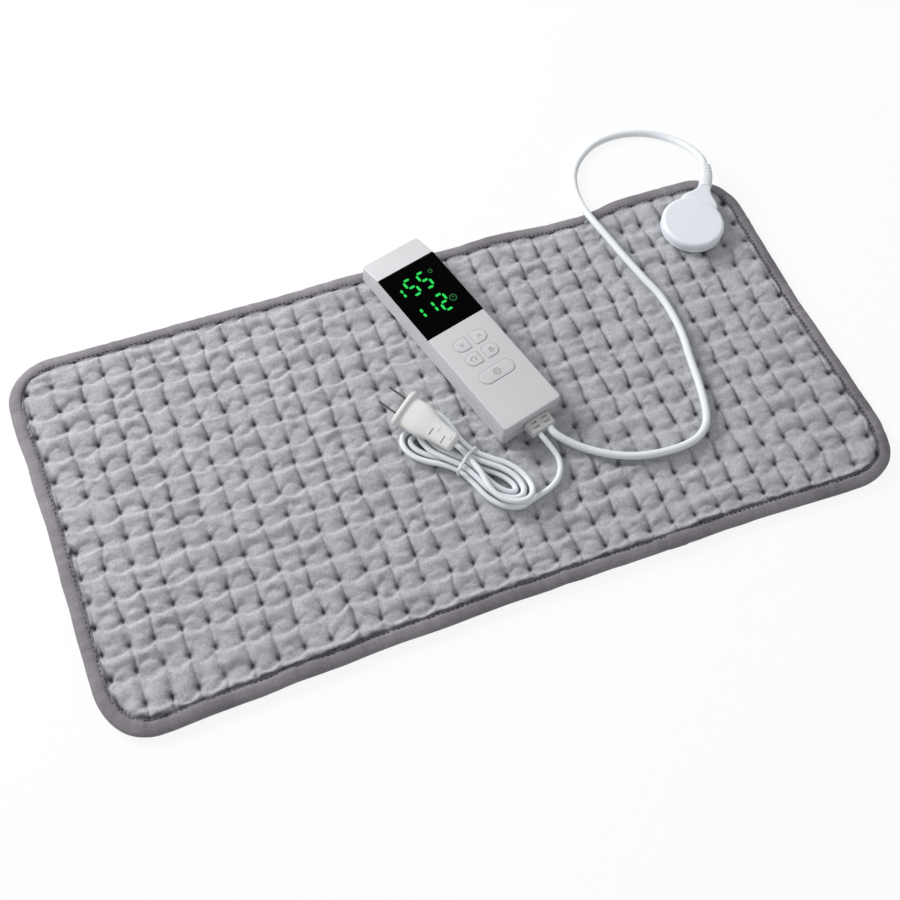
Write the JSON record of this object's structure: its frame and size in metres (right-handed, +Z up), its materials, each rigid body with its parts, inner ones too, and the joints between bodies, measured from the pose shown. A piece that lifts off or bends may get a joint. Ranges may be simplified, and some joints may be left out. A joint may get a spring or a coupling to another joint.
{
  "type": "heating pad",
  "caption": "Quilted rectangular heating pad with bound edges, a flat hand controller with display and push buttons, a lift-off round connector and a bundled mains cord with plug.",
  "frame": {"origin": "centre of the pad's underside, on the surface that it lies on", "axes": "+X along the pad's long side, towards the connector's end; +Y towards the edge that the cord crosses; +Z up"},
  "size_m": [0.6, 0.3741, 0.0421],
  "materials": {
    "pad_fabric": "short plush, quilted",
    "pad_underside_fabric": "flat woven",
    "binding_tape": "woven tape",
    "felt": "felt",
    "heater_sleeve": "matte",
    "white_plastic": "satin",
    "cord_plastic": "satin",
    "plug_plastic": "matte",
    "black_window": "gloss",
    "dark_plastic": "matte",
    "board_green": "satin",
    "brass": "plain",
    "steel": "plain",
    "ceramic": "matte"
  },
  "bodies": {
    "pad_with_controller": {"pad_top_cover": "pad_fabric", "pad_bottom_cover": "pad_underside_fabric", "edge_binding": "binding_tape", "element_carrier": "felt", "heating_wire": "heater_sleeve", "temperature_sensor": "dark_plastic", "thermal_cutout": "ceramic", "socket_base": "dark_plastic", "socket_pin_1": "brass", "socket_pin_2": "brass", "socket_pin_3": "brass", "socket_pin_4": "brass", "controller_back_shell": "white_plastic", "controller_front_shell": "white_plastic", "display_window": "black_window", "display_module": "dark_plastic", "circuit_board": "board_green", "fuse": "ceramic", "filter_capacitor": "dark_plastic", "triac": "dark_plastic", "controller_strain_relief": "cord_plastic", "controller_screw_1": "steel", "controller_screw_2": "steel", "controller_screw_3": "steel", "controller_screw_4": "steel", "switch_upper_left": "dark_plastic", "switch_upper_right": "dark_plastic", "switch_lower_left": "dark_plastic", "switch_lower_right": "dark_plastic", "switch_power": "dark_plastic", "pad_cord": "cord_plastic", "mains_lead": "cord_plastic", "mains_hank": "cord_plastic", "hank_tie": "cord_plastic", "plug_body": "plug_plastic", "plug_blade_left": "steel", "plug_blade_right": "steel"},
    "connector": {"connector_lower_shell": "white_plastic", "connector_upper_shell": "white_plastic", "connector_contact_1": "brass", "connector_contact_2": "brass", "connector_contact_3": "brass", "connector_contact_4": "brass", "connector_strain_relief": "cord_plastic"},
    "key_upper_left": {"button_upper_left": "white_plastic"},
    "key_upper_right": {"button_upper_right": "white_plastic"},
    "key_lower_left": {"button_lower_left": "white_plastic"},
    "key_lower_right": {"button_lower_right": "white_plastic"},
    "key_power": {"button_power": "white_plastic"}
  },
  "joints": [
    {"name": "connector_pull", "type": "slide", "parent": "pad_with_controller", "child": "connector", "axis": [0, 0, 1], "range_m": [0, 0.012]},
    {"name": "press_upper_left", "type": "slide", "parent": "pad_with_controller", "child": "key_upper_left", "axis": [0, 0, -1], "range_m": [0, 0.0007], "stiffness_N_per_m": 1500, "springref_m": -0.0005},
    {"name": "press_upper_right", "type": "slide", "parent": "pad_with_controller", "child": "key_upper_right", "axis": [0, 0, -1], "range_m": [0, 0.0007], "stiffness_N_per_m": 1500, "springref_m": -0.0005},
    {"name": "press_lower_left", "type": "slide", "parent": "pad_with_controller", "child": "key_lower_left", "axis": [0, 0, -1], "range_m": [0, 0.0007], "stiffness_N_per_m": 1500, "springref_m": -0.0005},
    {"name": "press_lower_right", "type": "slide", "parent": "pad_with_controller", "child": "key_lower_right", "axis": [0, 0, -1], "range_m": [0, 0.0007], "stiffness_N_per_m": 1500, "springref_m": -0.0005},
    {"name": "press_power", "type": "slide", "parent": "pad_with_controller", "child": "key_power", "axis": [0, 0, -1], "range_m": [0, 0.0007], "stiffness_N_per_m": 1500, "springref_m": -0.0005}
  ]
}
